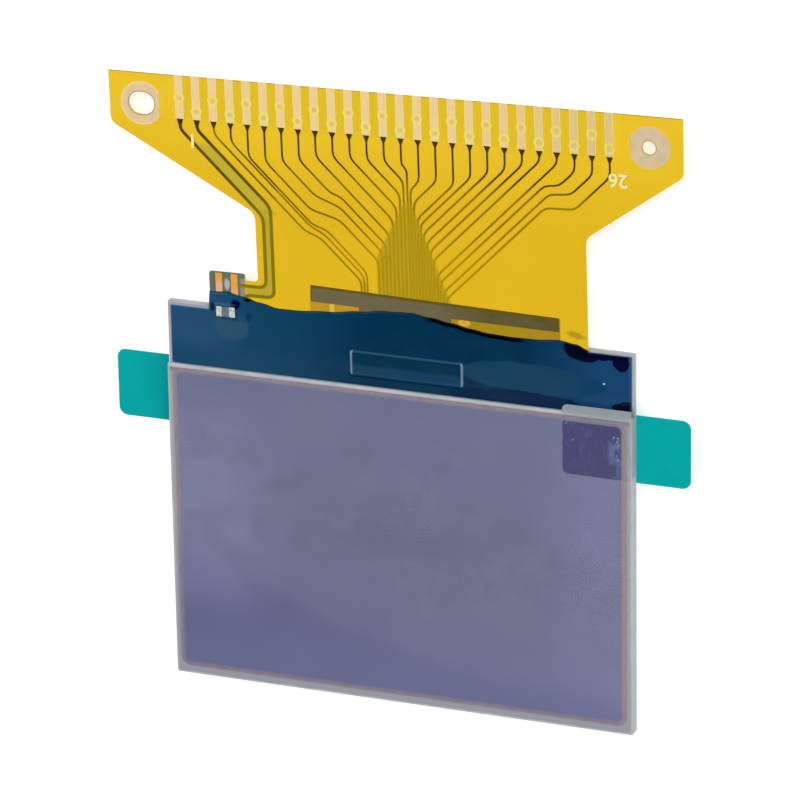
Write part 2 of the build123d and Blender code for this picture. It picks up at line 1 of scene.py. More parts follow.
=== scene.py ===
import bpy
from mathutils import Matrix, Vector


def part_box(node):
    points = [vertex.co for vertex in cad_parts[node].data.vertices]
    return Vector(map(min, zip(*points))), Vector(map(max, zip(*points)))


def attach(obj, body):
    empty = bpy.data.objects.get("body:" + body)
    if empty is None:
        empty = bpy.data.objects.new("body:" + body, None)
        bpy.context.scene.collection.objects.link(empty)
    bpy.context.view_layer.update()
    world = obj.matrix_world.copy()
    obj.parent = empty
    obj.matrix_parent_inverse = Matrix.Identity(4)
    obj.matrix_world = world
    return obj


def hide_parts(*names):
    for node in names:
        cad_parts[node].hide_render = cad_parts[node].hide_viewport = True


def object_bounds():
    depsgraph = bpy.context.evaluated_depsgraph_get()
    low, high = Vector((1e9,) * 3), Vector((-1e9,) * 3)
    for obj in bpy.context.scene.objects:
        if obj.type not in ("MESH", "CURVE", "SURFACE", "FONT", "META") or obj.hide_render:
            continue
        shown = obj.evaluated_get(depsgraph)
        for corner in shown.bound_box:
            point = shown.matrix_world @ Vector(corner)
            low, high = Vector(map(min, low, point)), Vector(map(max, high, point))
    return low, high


bl_info = {
    "name": "Cluster display module",
    "version": (1, 0, 0),
    "blender": (4, 5, 0),
    "location": "View3D > Sidebar > Display module",
    "description": "Finishes a glass display module with its flex tail, coating and protective films",
    "category": "Object",
}

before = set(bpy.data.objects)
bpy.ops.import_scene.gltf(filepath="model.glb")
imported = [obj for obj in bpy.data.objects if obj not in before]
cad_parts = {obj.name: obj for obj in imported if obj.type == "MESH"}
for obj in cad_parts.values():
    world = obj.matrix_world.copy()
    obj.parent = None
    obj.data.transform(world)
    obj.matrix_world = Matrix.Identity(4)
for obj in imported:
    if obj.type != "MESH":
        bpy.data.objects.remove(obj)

import math
import random

import bmesh
import bpy
from mathutils import Matrix, Vector, noise

# One millimetre in the scene's metres. Sizes and places below are in millimetres.
MM = 0.001
CAD_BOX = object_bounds()

# The tail lies slightly askew on the ledge: it is turned about this point of the ledge's edge
TAIL_SKEW = 1.0
TAIL_SHIFT = 0.15
LEDGE_Y = 26.3

# Thickness of the glue between a film and what it lies on
GLUE = 0.004

TERMINAL_COUNT = 26
TERMINAL_PITCH = 2.0
PAD_END_Y = 48.4
HEAD_Y = 53.4
ODD_LAND_Y = 50.8
EVEN_LAND_Y = 49.35
VIA_RADIUS = 0.26
VIA_RIM = 0.06
VIA_DEPTH = 0.012
VIA_DIMPLE = 0.004

HOLE_X = 29.5
HOLE_Y = 49.85
HOLE_RADIUS = 0.75
SLOT_LENGTH = 3.05
SLOT_WIDTH = 2.6
LEFT_RING_RADIUS = 2.55
RIGHT_RING_RADIUS = 2.45

# Where the seal's inner edge shows on the front polarizer, as the glass above it bends the view
SHOWN_LOW = (-26.25, -17.35)
SHOWN_HIGH = (26.3, 18.05)
SHOWN_RADIUS = 0.6

# The coating's upper edge over the tongue, the arm and the tail's neck, from left to right
COATING_EDGE = (
    (-22.35, 28.0), (-20.2, 28.15), (-18.05, 27.75), (-16.4, 27.3), (-14.0, 26.85), (-12.3, 26.87),
    (-8.0, 27.18), (-4.4, 27.65), (-1.5, 28.05), (1.7, 28.2), (4.2, 27.9), (6.3, 27.55),
    (8.6, 27.15), (10.9, 26.85), (13.5, 26.75), (16.0, 26.8), (18.9, 27.05), (20.8, 26.8), (22.2, 26.3),
)
TONGUE_RIGHT = -18.0

# The coating's shape
COATING_INSET = 0.35  # how far inside the ledge's edge it ends on bare glass
COATING_THICKNESS = 0.36
TAIL_STEP = 0.3  # how far inside its end on bare glass it steps up to the tail
TAIL_ROUNDING = 1.8  # how many times softer it ends on the tail
DIE_MIDDLE = 1.1
DIE_MARGIN = 0.1
DIE_CLEARANCE = 0.01
CLIMB_REACH = 0.45  # how far from the chip part it starts to climb
WAVE_HEIGHT = 0.008
WAVE_SIZE = (4.0, 2.5)
COATING_SKIRT = 0.02
FAR_FROM_EDGE = 5.0  # stands for a place with no poured edge nearby

# The comb of tracks in the middle of the tail: each side's slope and where it starts across the tail
COMB_TOP = 41.3
COMB_LEFT = (-0.515, 1.25)
COMB_LEFT_END = -2.35
COMB_RIGHT = (0.385, 1.9)

# The window of the bonding fingers
WINDOW_LEFT = -10.4
WINDOW_RIGHT = 18.9
BAND_FALL = 0.0358  # how far its upper edge falls for each millimetre to the right
FINGER_PITCH = 0.25

# The tape and the blisters in it
TAPE_THINNED = 0.012  # how much thinner than its solid it is shown
BLISTER_RADIUS = 0.15
BLISTER_SHAPE = (0.8, 1.2, 0.14)
BLISTER_LIFT = 0.028

# The printed numbers, with their places on the tail
NUMERALS = (("1", -23.6, 46.0), ("26", 25.93, 45.85))
NUMERAL_SHARE = 0.72  # a numeral's share of its font's size
INK_THICKNESS = 0.003

# The stage, in metres and degrees
CARD_HEIGHT = 0.4
CARD_MIDDLE = (-0.15, -0.195)
CARD_SIZE = (0.18, 0.09)
CARD_CORNER = (-0.16, -0.203)
CARD_CUTS = ((0.0093, 0.0573), (0.037, 0.1))  # the directions square to its two lower edges
LAMPS = (
    ("soft_left", (-0.75, 0.35, 0.75), 1.0),
    ("soft_right", (0.8, -0.1, 0.6), 0.8),
    ("soft_far", (0.1, 0.9, 0.8), 0.7),
)
LAMP_SIZE = 0.8
LAMP_AIM = (0.0, 0.017, 0.0)
CAMERA_PLACE = (0.208214, 0.250171, 0.544810)
CAMERA_TURN = (-22.13408, 20.55390, -1.02440)


def box_mm(node):
    """The lowest and highest corner of a CAD node, in millimetres."""
    low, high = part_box(node)
    return low / MM, high / MM


FRONT_LOW, FRONT_HIGH = box_mm("front_glass")
REAR_HIGH = box_mm("rear_glass")[1]
COATING_LOW, COATING_HIGH = box_mm("ledge_coating")
DIE_LOW, DIE_HIGH = box_mm("driver_die")
CAPS_LOW, CAPS_HIGH = box_mm("sensor_end_caps")
TAPE_LOW, TAPE_HIGH = box_mm("front_pull_tape")
COVER_HIGH = box_mm("flex_coverlay")[1]
BASE_LOW, BASE_HIGH = box_mm("flex_base_film")
PAD_HIGH = box_mm("terminal_pads")[1]


def linear(hex_colour):
    """An sRGB hex colour as the linear RGBA that Blender's sockets take."""
    channels = [int(hex_colour[i:i + 2], 16) / 255 for i in (1, 3, 5)]
    return (*(c / 12.92 if c <= 0.04045 else ((c + 0.055) / 1.055) ** 2.4 for c in channels), 1.0)


def on_tail(x, y):
    """A place in the tail's own square frame, as a place on the part."""
    turned = Matrix.Rotation(math.radians(TAIL_SKEW), 2) @ Vector((x, y - LEDGE_Y))
    return turned.x + TAIL_SHIFT, turned.y + LEDGE_Y


# Building blocks of the materials

def add(tree, kind, links=(), operation=None, **settings):
    """Adds a shader node with its settings. The links give its inputs values, or nodes to feed them."""
    made = tree.nodes.new("ShaderNode" + kind)
    if operation:
        made.operation = operation
    for name, value in settings.items():
        setattr(made, name, value)
    for socket, source in dict(links).items():
        if isinstance(source, bpy.types.Node):
            source = source.outputs[0]
        if isinstance(source, bpy.types.NodeSocket):
            tree.links.new(source, made.inputs[socket])
        else:
            made.inputs[socket].default_value = source
    return made


def start_material(name, colour, roughness, metallic=0.0, ior=None, alpha=1.0, gloss=0.5):
    """A material with its uniform values on the shader's own sockets, and its node tree."""
    material = bpy.data.materials.new(name)
    material.use_nodes = True
    tree = material.node_tree
    shader = tree.nodes["Principled BSDF"]
    shader.inputs["Base Color"].default_value = linear(colour)
    shader.inputs["Roughness"].default_value = roughness
    shader.inputs["Metallic"].default_value = metallic
    shader.inputs["Alpha"].default_value = alpha
    shader.inputs["Specular IOR Level"].default_value = gloss
    if ior is not None:
        shader.inputs["IOR"].default_value = ior
    return material, tree


def millimetres(tree, tail=False):
    """Object coordinates in millimetres, or the same turned into the tail's own frame."""
    turn = math.radians(-TAIL_SKEW) if tail else 0.0
    pivot = Vector((TAIL_SHIFT, LEDGE_Y))
    moved = Vector((0.0, LEDGE_Y)) - Matrix.Rotation(turn, 2) @ pivot if tail else Vector((0.0, 0.0))
    place = add(tree, "TexCoord").outputs["Object"]
    return add(tree, "Mapping", {
        "Vector": place,
        "Location": (moved.x, moved.y, 0.0),
        "Rotation": (0.0, 0.0, turn),
        "Scale": (1 / MM, 1 / MM, 1 / MM),
    })


def box_distance(tree, place, low, high, radius=0.0):
    """How far a place lies outside a rectangle with rounded corners, seen from above; negative inside."""
    centre = ((low[0] + high[0]) / 2, (low[1] + high[1]) / 2, 0.0)
    inner = ((high[0] - low[0]) / 2 - radius, (high[1] - low[1]) / 2 - radius, 0.0)
    flat = add(tree, "VectorMath", {0: place, 1: (1.0, 1.0, 0.0)}, "MULTIPLY")
    moved = add(tree, "VectorMath", {0: flat, 1: centre}, "SUBTRACT")
    folded = add(tree, "VectorMath", {0: moved}, "ABSOLUTE")
    past = add(tree, "VectorMath", {0: folded, 1: inner}, "SUBTRACT")
    outside = add(tree, "VectorMath", {0: past, 1: (0.0, 0.0, 0.0)}, "MAXIMUM")
    reach = add(tree, "VectorMath", {0: outside}, "LENGTH").outputs["Value"]
    past_x, past_y = add(tree, "SeparateXYZ", {0: past}).outputs[:2]
    deeper = add(tree, "Math", {0: past_x, 1: past_y}, "MAXIMUM")
    inside = add(tree, "Math", {0: deeper, 1: 0.0}, "MINIMUM")
    total = add(tree, "Math", {0: reach, 1: inside}, "ADD")
    return add(tree, "Math", {0: total, 1: radius}, "SUBTRACT")


def oval(tree, place, x, y, reach_x, reach_y, turn=0.0):
    """The distance from the middle of an oval, seen from above, where 1 is its rim."""
    local = add(tree, "Mapping", {
        "Vector": place,
        "Location": (x, y, 0.0),
        "Rotation": (0.0, 0.0, math.radians(turn)),
        "Scale": (reach_x, reach_y, 1e6),
    }, vector_type="TEXTURE")
    return add(tree, "VectorMath", {0: local}, "LENGTH").outputs["Value"]


def wavering(tree, place, size, amount):
    """The same place pushed about a little, so that a drawn edge looks poured."""
    cloud = add(tree, "TexNoise", {"Vector": place, "Scale": 1 / size})
    push = add(tree, "VectorMath", {0: cloud.outputs["Color"], 1: (0.5, 0.5, 0.5)}, "SUBTRACT")
    scaled = add(tree, "VectorMath", {0: push, "Scale": amount}, "SCALE")
    return add(tree, "VectorMath", {0: place, 1: scaled}, "ADD")


def layered(tree, base, *layers):
    """A base colour with others over it. Each layer is a colour, its strength and the conditions for it:
    a value, with where the layer starts to show and where it shows in full."""
    colour = linear(base)
    for over, strength, *conditions in layers:
        mask = strength
        for value, start, full in conditions:
            ramp = add(tree, "MapRange", {
                "Value": value, "From Min": start, "From Max": full,
            }, interpolation_type="SMOOTHSTEP")
            mask = add(tree, "Math", {0: ramp, 1: mask}, "MULTIPLY")
        mixed = add(tree, "Mix", {0: mask, 6: colour, 7: linear(over)}, data_type="RGBA")
        colour = mixed.outputs[2]
    return colour


def coated(material, colour, height=None, relief=0.0):
    """Gives a material its colour and, where there is a height, its relief in millimetres."""
    tree = material.node_tree
    shader = tree.nodes["Principled BSDF"]
    tree.links.new(colour, shader.inputs["Base Color"])
    if height is not None:
        bump = add(tree, "Bump", {"Height": height, "Distance": relief * MM})
        tree.links.new(bump.outputs[0], shader.inputs["Normal"])
    return material


def clouded(name, base, over, size, roughness, detail=3.0, relief=None, **settings):
    """A material with soft clouds of a second colour, whose size is in millimetres. The second colour
    comes with where it starts to show and where it shows in full, and relief is a size and a depth."""
    material, tree = start_material(name, base, roughness, **settings)
    place = millimetres(tree)
    cloud = add(tree, "TexNoise", {"Vector": place, "Scale": 1 / size, "Detail": detail})
    second, begin, full = over
    colour = layered(tree, base, (second, 1.0, (cloud, begin, full)))
    if relief is None:
        return coated(material, colour)
    uneven = add(tree, "TexNoise", {"Vector": place, "Scale": 1 / relief[0]})
    return coated(material, colour, uneven, relief[1])


def glowing(material, colour, strength):
    """Lets a material give off light of its own."""
    shader = material.node_tree.nodes["Principled BSDF"]
    shader.inputs["Emission Color"].default_value = linear(colour)
    shader.inputs["Emission Strength"].default_value = strength
    return material


def comb_inside(tree, across, up):
    """Conditions that hold where the tracks run side by side down the middle of the tail."""
    down = add(tree, "Math", {0: COMB_TOP, 1: up}, "SUBTRACT")
    slant = add(tree, "Math", {0: down, 1: COMB_LEFT[0], 2: COMB_LEFT[1]}, "MULTIPLY_ADD")
    left = add(tree, "Math", {0: slant, 1: COMB_LEFT_END}, "MAXIMUM")
    right = add(tree, "Math", {0: down, 1: COMB_RIGHT[0], 2: COMB_RIGHT[1]}, "MULTIPLY_ADD")
    from_left = add(tree, "Math", {0: across, 1: left}, "SUBTRACT")
    from_right = add(tree, "Math", {0: right, 1: across}, "SUBTRACT")
    return (from_left, -0.1, 0.2), (from_right, -0.1, 0.2), (up, COMB_TOP + 0.1, COMB_TOP - 0.7)


# Materials

def float_glass():
    """Float glass with ground edges: the pale rim is light caught in the sheet, the dark line its edge."""
    material, tree = start_material("float_glass", "#a9afb3", 0.12, ior=1.52)
    place = millimetres(tree)
    rim = box_distance(tree, place, FRONT_LOW, REAR_HIGH)
    cloud = add(tree, "TexNoise", {"Vector": place, "Scale": 1 / 3.0, "Detail": 3.0})
    colour = layered(
        tree, "#a7aeb3",
        ("#b5b9bf", 1.0, (cloud, 0.35, 0.7)),
        ("#8d959c", 0.8, (rim, -0.1, -0.03)),
    )
    # Grinding marks of about 0.05 mm
    grind = add(tree, "TexNoise", {"Vector": place, "Scale": 1 / 0.05})
    return coated(material, colour, grind, 0.002)


def epoxy_seal():
    """Cured epoxy with its spacers: a bronze line between the sheets."""
    return clouded("cured_epoxy", "#9a8579", ("#84695c", 0.4, 0.7), 0.3, 0.55, ior=1.55)


def liquid_crystal():
    """Liquid crystal at rest: dark violet grey."""
    return clouded("liquid_crystal", "#4b4a66", ("#57566f", 0.4, 0.7), 4.0, 0.3, ior=1.55)


def dyed_polarizer():
    """Iodine-dyed polarizer: glossy violet grey, with the bronze seal and the pale glass rim through it."""
    material, tree = start_material("iodine_polarizer", "#696e9b", 0.05, ior=1.49)
    place = millimetres(tree)
    across, up = add(tree, "SeparateXYZ", {0: place}).outputs[:2]
    seal = box_distance(tree, place, SHOWN_LOW, SHOWN_HIGH, SHOWN_RADIUS)
    wide = add(tree, "VectorMath", {0: place, 1: (1.0, 1.6, 1.0)}, "MULTIPLY")
    slow = add(tree, "TexNoise", {"Vector": wide, "Scale": 1 / 9.0, "Detail": 5.0})
    fine, smear, bronze = [
        add(tree, "TexNoise", {"Vector": place, "Scale": 1 / size, "Detail": 3.0})
        for size in (1.6, 4.5, 1.2)]
    whole = oval(tree, place, -2.0, 3.0, 24.0, 14.0)
    middle = oval(tree, wavering(tree, place, 6.0, 6.0), 5.0, 1.0, 20.0, 6.5, -7.0)
    colour = layered(
        tree, "#696e9b",
        ("#5c608e", 1.0, (up, -17.0, -8.0)),
        ("#7777a5", 1.0, (across, -12.0, -22.0), (up, -13.0, -6.0), (up, 17.5, 9.0)),
        ("#6f74a3", 1.0, (across, 14.0, 24.0)),
        ("#666792", 0.8, (slow, 0.45, 0.72), (up, -15.0, -8.0)),
        ("#525583", 0.7, (smear, 0.5, 0.66), (whole, 1.1, 0.5)),
        ("#505481", 0.9, (middle, 1.15, 0.3), (slow, 0.7, 0.42)),
        ("#4e527c", 0.5, (fine, 0.45, 0.75), (middle, 1.2, 0.5)),
        ("#8c7e8d", 1.0, (seal, -0.15, 0.3)),
        ("#9c878e", 0.9, (seal, 0.05, 0.35), (bronze, 0.35, 0.6)),
        ("#a98b88", 0.8, (seal, -0.1, 0.1), (seal, 0.55, 0.35), (across, 25.6, 26.1)),
        ("#b4b2b7", 1.0, (seal, 0.4, 0.8), (up, 18.4, 18.0)),
    )
    wave = add(tree, "TexNoise", {"Vector": place, "Scale": 1 / 7.0})
    return coated(material, colour, wave, 0.012)


def aluminised_reflector():
    """Aluminised polyester behind the rear polarizer: silvery grey with a fine haze."""
    # Its grain is a few hundredths of a millimetre and is drawn at 0.08 mm so that it shows
    return clouded(
        "aluminised_reflector", "#a4a8ab", ("#979ca3", 0.35, 0.7), 7.0, 0.38,
        relief=(0.08, 0.003), metallic=0.6)


def clear_polyester(name, alpha):
    """Clear polyester film: nearly invisible, with a slight milky haze and soft waves."""
    return clouded(
        name, "#7c80a2", ("#8589ab", 0.35, 0.75), 5.0, 0.15,
        detail=4.0, relief=(9.0, 0.015), ior=1.6, alpha=alpha)


def clear_tape():
    """Clear polypropylene tape: a pale veil, deep violet where its glue wets the film over the display."""
    material, tree = start_material(
        "polypropylene_tape", "#b4bac2", 0.18, ior=1.49, alpha=0.5, gloss=0.3)
    place = millimetres(tree)
    ragged = wavering(tree, place, 0.9, 0.35)
    shown = box_distance(tree, place, SHOWN_LOW, SHOWN_HIGH, SHOWN_RADIUS)
    wetted = box_distance(tree, ragged, (19.6, 11.85), (40.0, 30.0), 0.6)
    glass = box_distance(tree, place, (FRONT_LOW.x, -50.0), (FRONT_HIGH.x, 50.0))
    up = add(tree, "SeparateXYZ", {0: place}).outputs[1]
    drawn_out = add(tree, "VectorMath", {0: place, 1: (3.0, 1.0, 1.0)}, "MULTIPLY")
    streak = add(tree, "TexNoise", {"Vector": drawn_out, "Scale": 1 / 1.6, "Detail": 3.0})
    patch = add(tree, "TexNoise", {"Vector": place, "Scale": 1 / 1.3, "Detail": 3.0})
    lifted = oval(tree, ragged, 25.6, 14.8, 0.85, 3.4)
    colour = layered(
        tree, "#aab2ba",
        ("#454476", 1.0, (shown, 0.1, -0.1)),
        ("#4e5584", 0.9, (shown, 0.1, -0.1), (streak, 0.5, 0.75)),
        ("#51436c", 0.7, (shown, 0.1, -0.1), (patch, 0.5, 0.7), (streak, 0.55, 0.4)),
        ("#62759f", 0.85, (shown, 0.1, -0.2), (lifted, 1.25, 0.5), (patch, 0.42, 0.58)),
    )
    # How much it hides: little over the glass rim, more past the glass, nearly all where it is wetted
    dark = add(tree, "MapRange", {"Value": shown, "From Min": 0.08, "From Max": -0.08})
    wet = add(tree, "MapRange", {"Value": wetted, "From Min": 0.1, "From Max": -0.1, "To Max": 0.85})
    over_display = add(tree, "Math", {0: dark, 1: wet}, "MULTIPLY")
    overhang = add(tree, "MapRange", {
        "Value": up, "From Min": 18.9, "From Max": 19.1, "To Min": 0.05, "To Max": 0.52})
    veil = add(tree, "MapRange", {
        "Value": glass, "From Min": -0.03, "From Max": 0.03, "To Min": 1.0, "To Max": 0.0})
    sides = add(tree, "Math", {0: overhang, 1: veil}, "MULTIPLY")
    hides = add(tree, "Math", {0: over_display, 1: sides}, "MAXIMUM")
    tree.links.new(hides.outputs[0], tree.nodes["Principled BSDF"].inputs["Alpha"])
    return coated(material, colour)


def teal_polyester():
    """Teal polyester backing: flat, even colour with a satin surface."""
    return clouded(
        "teal_polyester", "#009ea0", ("#00a3a4", 0.35, 0.75), 4.0, 0.5,
        relief=(0.25, 0.002), ior=1.5, gloss=0.08)


def polyimide(name, alpha):
    """Amber polyimide: golden yellow, greener close to copper, grey-green on the sensor's tongue."""
    material, tree = start_material(name, "#e6be18", 0.36, ior=1.7, alpha=alpha, gloss=0.12)
    place = millimetres(tree, tail=True)
    across, up = add(tree, "SeparateXYZ", {0: place}).outputs[:2]
    slow, fine, wave = [
        add(tree, "TexNoise", {"Vector": place, "Scale": 1 / size, "Detail": 3.0})
        for size in (9.0, 0.6, 3.0)]
    slanted = add(tree, "Math", {0: across, 1: up}, "ADD")
    level = add(tree, "Math", {0: across, 1: BAND_FALL, 2: up}, "MULTIPLY_ADD")
    row = box_distance(tree, place, (-25.1, PAD_END_Y), (25.1, 60.0))
    window = box_distance(tree, place, (WINDOW_LEFT, 20.0), (WINDOW_RIGHT, 29.6))
    bare = ((window, 0.05, -0.05), (level, 29.9, 29.8))
    tongue = box_distance(tree, place, (-22.8, 15.0), (-18.1, 34.0), 0.3)
    loop = box_distance(tree, place, (-18.0, 29.5), (-15.55, 60.0), 0.4)
    outer_loop = box_distance(tree, place, (-18.0, 28.4), (-14.65, 60.0), 0.4)
    separator = box_distance(tree, place, (-8.05, 27.2), (-7.6, 28.3))
    dot = oval(tree, place, 7.74, 27.62, 0.7, 0.4)
    stain = oval(tree, wavering(tree, place, 0.6, 0.4), 20.7, 27.45, 1.2, 0.4, -12.0)
    glue = oval(tree, wavering(tree, place, 0.5, 0.3), -20.3, 29.35, 0.36, 0.75)
    comb = comb_inside(tree, across, up)
    colour = layered(
        tree, "#deb418",
        ("#e8c125", 1.0, (up, 38.0, 50.0)),
        ("#e2b81d", 0.8, (slow, 0.35, 0.75)),
        ("#d6ac18", 0.6, (fine, 0.55, 0.8), (slow, 0.6, 0.4)),
        ("#bd9d14", 0.95, *comb),
        ("#bda931", 0.9, (slanted, 22.2, 22.5), (slanted, 24.4, 24.1), (up, 37.9, 38.4), (up, 46.2, 45.2)),
        ("#b6a22e", 0.9, (loop, -0.05, 0.1), (outer_loop, 0.05, -0.1), (up, 38.9, 38.4), (up, 28.2, 28.6)),
        ("#dcb920", 1.0, (row, 0.2, -0.3)),
        ("#8f8850", 0.8, (up, HEAD_Y - 0.13, HEAD_Y - 0.03)),
        ("#bb9022", 1.0, *bare),
        ("#a38610", 1.0, *bare, (across, 2.0, 6.0)),
        ("#ab8222", 0.8, *bare, (across, 12.5, 17.5)),
        ("#d2bd4c", 0.8, (separator, 0.1, -0.05)),
        ("#e3ad2e", 0.9, (dot, 1.2, 0.8)),
        ("#bb9420", 0.8, (dot, 0.5, 0.2)),
        ("#94821a", 0.7, (stain, 1.2, 0.5)),
        ("#63685a", 1.0, (tongue, 0.05, -0.1)),
        ("#9c8f86", 0.8, (tongue, 0.05, -0.1), (across, -18.9, -18.5), (up, 30.4, 30.0)),
        ("#b4b9b4", 0.85, (glue, 1.2, 0.5)),
    )
    return coated(material, colour, wave, 0.006)


def covered_copper():
    """Etched copper seen through the amber film: nearly black by the terminals, olive further down."""
    material, tree = start_material("copper_under_film", "#4a3c04", 0.45, gloss=0.1)
    place = millimetres(tree, tail=True)
    across, up = add(tree, "SeparateXYZ", {0: place}).outputs[:2]
    slanted = add(tree, "Math", {0: across, 1: up}, "ADD")
    grain = add(tree, "TexNoise", {"Vector": place, "Scale": 1 / 1.5, "Detail": 3.0})
    sensor_side = (across, -13.6, -14.2)
    inner = (across, -14.2, -13.6)
    colour = layered(
        tree, "#392b04",
        ("#917405", 1.0, (up, 45.0, 42.0), inner),
        ("#7c6204", 1.0, (up, 44.0, 42.0), inner, (across, 1.0, -4.0)),
        ("#6f5803", 0.6, (grain, 0.5, 0.7), (up, 45.0, 42.0), inner),
        ("#ad8a06", 1.0, (up, 39.0, 34.5), inner),
        ("#8f7a12", 0.8, (slanted, 25.0, 25.4), (slanted, 27.5, 27.3)),
        ("#ad910a", 1.0, *comb_inside(tree, across, up)),
        ("#5c4e02", 0.8, (up, 46.6, 45.0), sensor_side),
        ("#7b7202", 1.0, (up, 41.5, 37.0), sensor_side),
        ("#241a03", 1.0, (up, PAD_END_Y - 1.0, PAD_END_Y - 0.5)),
    )
    return coated(material, colour)


def rolled_copper():
    """Bare rolled copper: warm orange and satin, pinker where it has been tinned near the chip part."""
    material, tree = start_material("rolled_copper", "#f5b046", 0.4, metallic=0.3)
    place = millimetres(tree, tail=True)
    across, up = add(tree, "SeparateXYZ", {0: place}).outputs[:2]
    drawn_out = add(tree, "VectorMath", {0: place, 1: (3.0, 0.5, 1.0)}, "MULTIPLY")
    brushed = add(tree, "TexNoise", {"Vector": drawn_out, "Scale": 1 / 0.4, "Detail": 3.0})
    colour = layered(
        tree, "#efab3e",
        ("#f8bb5a", 1.0, (brushed, 0.45, 0.7)),
        ("#ecbba1", 0.9, (up, 30.2, 29.0), (across, -19.9, -20.5)),
        ("#f2be87", 0.6, (up, 29.3, 28.5)),
    )
    return coated(material, colour)


def flash_gold():
    """Thin gold flash over nickel: pinkish beige and satin, yellower along its edges and round lands."""
    material, tree = start_material("flash_gold", "#ffdb9e", 0.38, metallic=0.3)
    place = millimetres(tree, tail=True)
    across, up = add(tree, "SeparateXYZ", {0: place}).outputs[:2]
    cloud = add(tree, "TexNoise", {"Vector": place, "Scale": 1 / 1.3, "Detail": 3.0})
    dirt = add(tree, "TexNoise", {"Vector": place, "Scale": 1 / 0.35, "Detail": 3.0})
    # One wrapped strip as wide as the terminals' pitch serves them all
    strip = add(tree, "Math", {0: across, 1: TERMINAL_PITCH, 2: 0.0}, "WRAP")
    aside = add(tree, "Math", {0: strip, 1: TERMINAL_PITCH / 2}, "SUBTRACT")
    side = add(tree, "Math", {0: aside}, "ABSOLUTE")
    # The lands repeat at every second terminal, in an upper and a lower row
    pair = add(tree, "Math", {0: across, 1: 2 * TERMINAL_PITCH, 2: 0.0}, "WRAP")
    folded = add(tree, "CombineXYZ", {0: pair, 1: up})
    upper_land = oval(tree, folded, 1.5 * TERMINAL_PITCH, ODD_LAND_Y, 1.0, 1.0)
    lower_land = oval(tree, folded, 0.5 * TERMINAL_PITCH, EVEN_LAND_Y, 1.0, 1.0)
    colour = layered(
        tree, "#ffdca1",
        ("#ffe0a7", 1.0, (cloud, 0.4, 0.7)),
        ("#edcd8c", 0.8, (across, 6.0, 24.0)),
        ("#f2d6a5", 0.7, (dirt, 0.55, 0.8), (cloud, 0.45, 0.6)),
        ("#fff081", 0.85, (side, 0.34, 0.48)),
        ("#ffef6a", 0.85, (upper_land, 0.36, 0.48), (upper_land, 0.72, 0.6)),
        ("#ffef6a", 0.85, (lower_land, 0.36, 0.48), (lower_land, 0.72, 0.6)),
    )
    return coated(material, colour, dirt, 0.002)


def handled_gold():
    """The same plating on the large rings: duller, stained by handling, browner at the punched hole."""
    material, tree = start_material("handled_gold", "#ecd6b6", 0.42, metallic=0.3)
    place = millimetres(tree, tail=True)
    across = add(tree, "SeparateXYZ", {0: place}).outputs[0]
    cloud = add(tree, "TexNoise", {"Vector": place, "Scale": 1 / 1.2, "Detail": 4.0})
    reach = (SLOT_LENGTH / 2, SLOT_WIDTH / 2)
    slot_low = (-HOLE_X - reach[0], HOLE_Y - reach[1])
    slot_high = (-HOLE_X + reach[0], HOLE_Y + reach[1])
    slot = box_distance(tree, place, slot_low, slot_high, reach[1])
    left_rim = oval(tree, place, -HOLE_X, HOLE_Y, LEFT_RING_RADIUS, LEFT_RING_RADIUS)
    right_rim = oval(tree, place, HOLE_X, HOLE_Y, RIGHT_RING_RADIUS, RIGHT_RING_RADIUS)
    hole = oval(tree, place, HOLE_X, HOLE_Y, HOLE_RADIUS, HOLE_RADIUS)
    on_left = (across, 1.0, -1.0)
    on_right = (across, -1.0, 1.0)
    colour = layered(
        tree, "#f4d49b",
        ("#e9cea7", 1.0, (cloud, 0.42, 0.65)),
        ("#e2cdad", 0.7, (cloud, 0.62, 0.8)),
        ("#e6cda6", 0.8, on_right),
        ("#dcc3a3", 0.7, on_right, (cloud, 0.4, 0.65)),
        ("#fee393", 0.8, (left_rim, 0.86, 0.97), on_left),
        ("#f3d17e", 0.8, (right_rim, 0.88, 0.98), on_right),
        ("#8a725a", 0.8, (slot, 0.16, 0.05), on_left),
        ("#9a8364", 0.7, (hole, 1.2, 1.05), on_right),
    )
    return coated(material, colour, cloud, 0.002)


def tinned_fingers():
    """Rows of fine tinned fingers: an olive grey band with hairlines across the tail."""
    material, tree = start_material("tinned_fingers", "#655937", 0.45, gloss=0.2)
    place = millimetres(tree, tail=True)
    across, up = add(tree, "SeparateXYZ", {0: place}).outputs[:2]
    # The real fingers stand about 0.1 mm apart, too fine to show, and are drawn FINGER_PITCH apart
    turns = add(tree, "Math", {0: across, 1: 2 * math.pi / FINGER_PITCH}, "MULTIPLY")
    lines = add(tree, "Math", {0: turns}, "SINE")
    drawn_out = add(tree, "VectorMath", {0: place, 1: (0.45, 1.6, 1.0)}, "MULTIPLY")
    cloud = add(tree, "TexNoise", {"Vector": drawn_out, "Scale": 1 / 1.4, "Detail": 4.0})
    # Above this level the cover film starts again
    level = add(tree, "Math", {0: across, 1: BAND_FALL, 2: up}, "MULTIPLY_ADD")
    colour = layered(
        tree, "#6a6140",
        ("#6b634b", 1.0, (cloud, 0.35, 0.6)),
        ("#6f634e", 0.75, (cloud, 0.55, 0.72), (across, 7.0, 1.0)),
        ("#5b5229", 0.85, (across, 3.0, 11.0)),
        ("#544b26", 0.6, (cloud, 0.5, 0.35), (across, 3.0, 11.0)),
        ("#5f500a", 0.95, (level, 29.52, 29.7)),
        ("#62520a", 0.9, (across, 18.35, 18.5)),
        ("#62520a", 0.8, (across, -10.08, -10.2)),
        ("#4a431f", 0.2, (lines, -0.2, 0.9)),
    )
    return coated(material, colour, lines, 0.003)


